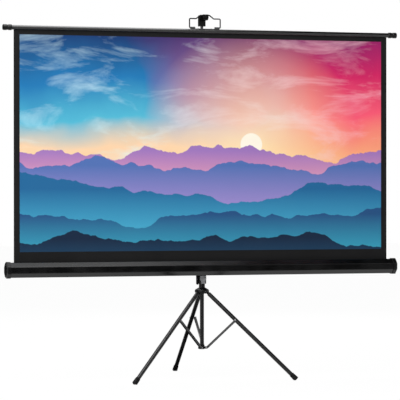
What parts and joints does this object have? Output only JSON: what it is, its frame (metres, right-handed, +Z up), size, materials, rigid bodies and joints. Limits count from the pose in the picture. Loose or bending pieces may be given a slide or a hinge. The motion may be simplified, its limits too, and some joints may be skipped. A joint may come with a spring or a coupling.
{
  "type": "tripod projection screen",
  "caption": "Pull-up projection screen: cloth drawn from a long eight-sided case to a top bar hung on a telescopic mast, on a folding braced tripod.",
  "frame": {"origin": "on the floor, under the middle of the footprint", "axes": "+X along the case, +Y from the cloth's face to the back leg, +Z up"},
  "size_m": [2.41, 0.8702, 2.1358],
  "materials": {
    "black_paint": "satin",
    "leg_paint": "satin",
    "black_plastic": "matt",
    "grey_metal": "satin",
    "steel": "brushed",
    "rubber": "matt",
    "cloth": "matt white with black edges"
  },
  "bodies": {
    "stand": {"outer_tube": "black_paint", "crown": "black_plastic", "crown_pins": "steel", "lower_bush": "black_plastic", "tube_collar": "black_plastic"},
    "mast_lock": {"mast_lock_button": "black_plastic"},
    "lower_post": {"lower_tube": "black_paint", "lower_hub": "black_plastic", "hub_pins": "steel"},
    "mast": {"mast_tube": "grey_metal", "mast_guide": "black_plastic", "mast_head": "black_plastic", "hook_screw": "steel", "top_bar": "black_paint", "bar_cap_right": "black_plastic", "bar_cap_left": "black_plastic", "handle_plate": "black_paint", "handle_screws": "steel"},
    "bail": {"bail": "black_paint"},
    "roller": {"roller_tube": "grey_metal", "wound_cloth": "cloth", "roller_plug_right": "black_plastic", "roller_plug_left": "black_plastic", "roller_spring": "steel"},
    "carriage": {"case_shell": "black_paint", "case_cap_right": "black_plastic", "case_cap_left": "black_plastic", "cap_screws": "steel", "spring_arbor": "steel", "screen_cloth": "cloth", "carriage_block": "black_plastic", "carriage_plate": "grey_metal", "plate_screws": "steel", "clamp_shoe": "black_plastic", "lever_pin": "steel", "swivel_washer": "black_plastic", "swivel_bolt": "steel", "case_bracket": "grey_metal", "bracket_screws": "steel"},
    "clamp_lever": {"clamp_lever": "black_plastic"},
    "leg_back": {"leg_tube_back": "leg_paint", "leg_knuckle_back": "black_plastic", "leg_tip_back": "rubber", "brace_pin_back": "steel"},
    "brace_back": {"brace_back": "leg_paint"},
    "leg_left": {"leg_tube_left": "leg_paint", "leg_knuckle_left": "black_plastic", "leg_tip_left": "rubber", "brace_pin_left": "steel"},
    "brace_left": {"brace_left": "leg_paint"},
    "leg_right": {"leg_tube_right": "leg_paint", "leg_knuckle_right": "black_plastic", "leg_tip_right": "rubber", "brace_pin_right": "steel"},
    "brace_right": {"brace_right": "leg_paint"}
  },
  "joints": [
    {"name": "tripod_fold", "type": "hinge", "parent": "stand", "child": "leg_back", "pos_m": [0, -0.112, 0.51231], "axis": [-1, 0, 0], "range_deg": [0, 44.2]},
    {"name": "brace_back_turn", "type": "hinge", "parent": "leg_back", "child": "brace_back", "pos_m": [0, 0.06339, 0.34702], "axis": [-1, 0, 0], "range_deg": [-88.4, 0]},
    {"name": "lower_post_turn", "type": "hinge", "parent": "brace_back", "child": "lower_post", "pos_m": [0, -0.112, 0.18174], "axis": [-1, 0, 0], "range_deg": [0, 44.2]},
    {"name": "leg_left_turn", "type": "hinge", "parent": "stand", "child": "leg_left", "pos_m": [-0.02338, -0.1525, 0.51231], "axis": [0.5, -0.866, 0], "range_deg": [0, 44.2]},
    {"name": "brace_left_turn", "type": "hinge", "parent": "lower_post", "child": "brace_left", "pos_m": [-0.02338, -0.1525, 0.18174], "axis": [0.5, -0.866, 0], "range_deg": [-44.2, 0]},
    {"name": "leg_right_turn", "type": "hinge", "parent": "stand", "child": "leg_right", "pos_m": [0.02338, -0.1525, 0.51231], "axis": [0.5, 0.866, 0], "range_deg": [0, 44.2]},
    {"name": "brace_right_turn", "type": "hinge", "parent": "lower_post", "child": "brace_right", "pos_m": [0.02338, -0.1525, 0.18174], "axis": [0.5, 0.866, 0], "range_deg": [-44.2, 0]},
    {"name": "case_height", "type": "slide", "parent": "stand", "child": "carriage", "axis": [0, 0, 1], "range_m": [0, 0.52], "deforming": ["screen_cloth"]},
    {"name": "mast_height", "type": "slide", "parent": "stand", "child": "mast", "axis": [0, 0, 1], "range_m": [-0.8, 0], "deforming": ["screen_cloth"]},
    {"name": "roller_spin", "type": "hinge", "parent": "carriage", "child": "roller", "pos_m": [0, -0.222, 0.65231], "axis": [1, 0, 0], "range_deg": [-2183.2, 0]},
    {"name": "handle_rock", "type": "hinge", "parent": "mast", "child": "bail", "pos_m": [0, -0.201, 2.05881], "axis": [1, 0, 0], "range_deg": [-3.5, 3.5]},
    {"name": "mast_lock_press", "type": "slide", "parent": "stand", "child": "mast_lock", "axis": [0, -1, 0], "range_m": [0, 0.003], "stiffness_N_per_m": 800},
    {"name": "case_lock_swing", "type": "hinge", "parent": "carriage", "child": "clamp_lever", "pos_m": [-0.0275, -0.139, 0.63831], "axis": [0, 1, 0], "range_deg": [0, 60]}
  ],
  "couplings": [
    {"joint": "brace_back_turn", "follows": "tripod_fold", "ratio": -2},
    {"joint": "lower_post_turn", "follows": "tripod_fold", "ratio": 1},
    {"joint": "leg_left_turn", "follows": "tripod_fold", "ratio": 1},
    {"joint": "brace_left_turn", "follows": "tripod_fold", "ratio": -1},
    {"joint": "leg_right_turn", "follows": "tripod_fold", "ratio": 1},
    {"joint": "brace_right_turn", "follows": "tripod_fold", "ratio": -1},
    {"joint": "roller_spin", "follows": "mast_height", "rad_per_m": 47.619}
  ]
}
